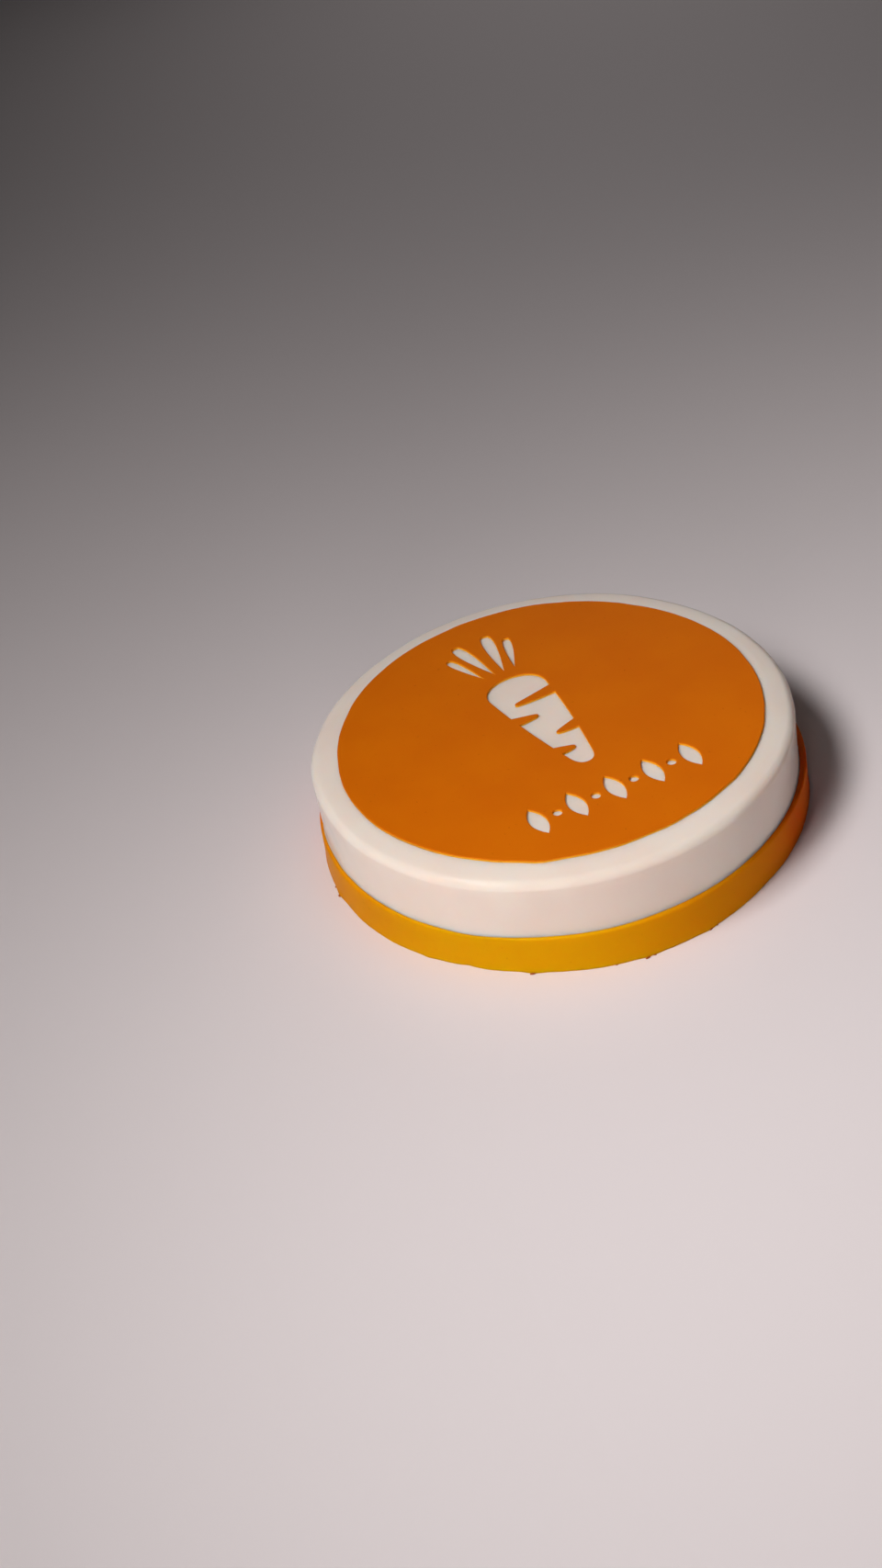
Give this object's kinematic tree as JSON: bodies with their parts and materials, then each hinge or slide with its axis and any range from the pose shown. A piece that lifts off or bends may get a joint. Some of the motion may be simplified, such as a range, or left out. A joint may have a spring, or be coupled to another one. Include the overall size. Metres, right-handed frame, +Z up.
{
  "type": "carrot cake",
  "caption": "Low round uncut carrot cake: orange base layer, thick rounded white cream layer and a thin orange top sheet with a stencilled carrot and a row of pointed seeds.",
  "frame": {"origin": "middle of the foot, on the surface that the cake stands on", "axes": "+Z up through the layers, +Y along the top from the carrot figure's tip to its leaves, +X to the right of the figure"},
  "size_m": [0.1793, 0.1807, 0.0393],
  "materials": {
    "base": "satin, moist, warm yellow-orange set layer",
    "cream": "smooth satin white cream",
    "sheet": "smooth satin orange sheet"
  },
  "bodies": {
    "root": {"base_layer": "base", "cream_layer": "cream", "top_sheet": "sheet"}
  },
  "joints": []
}
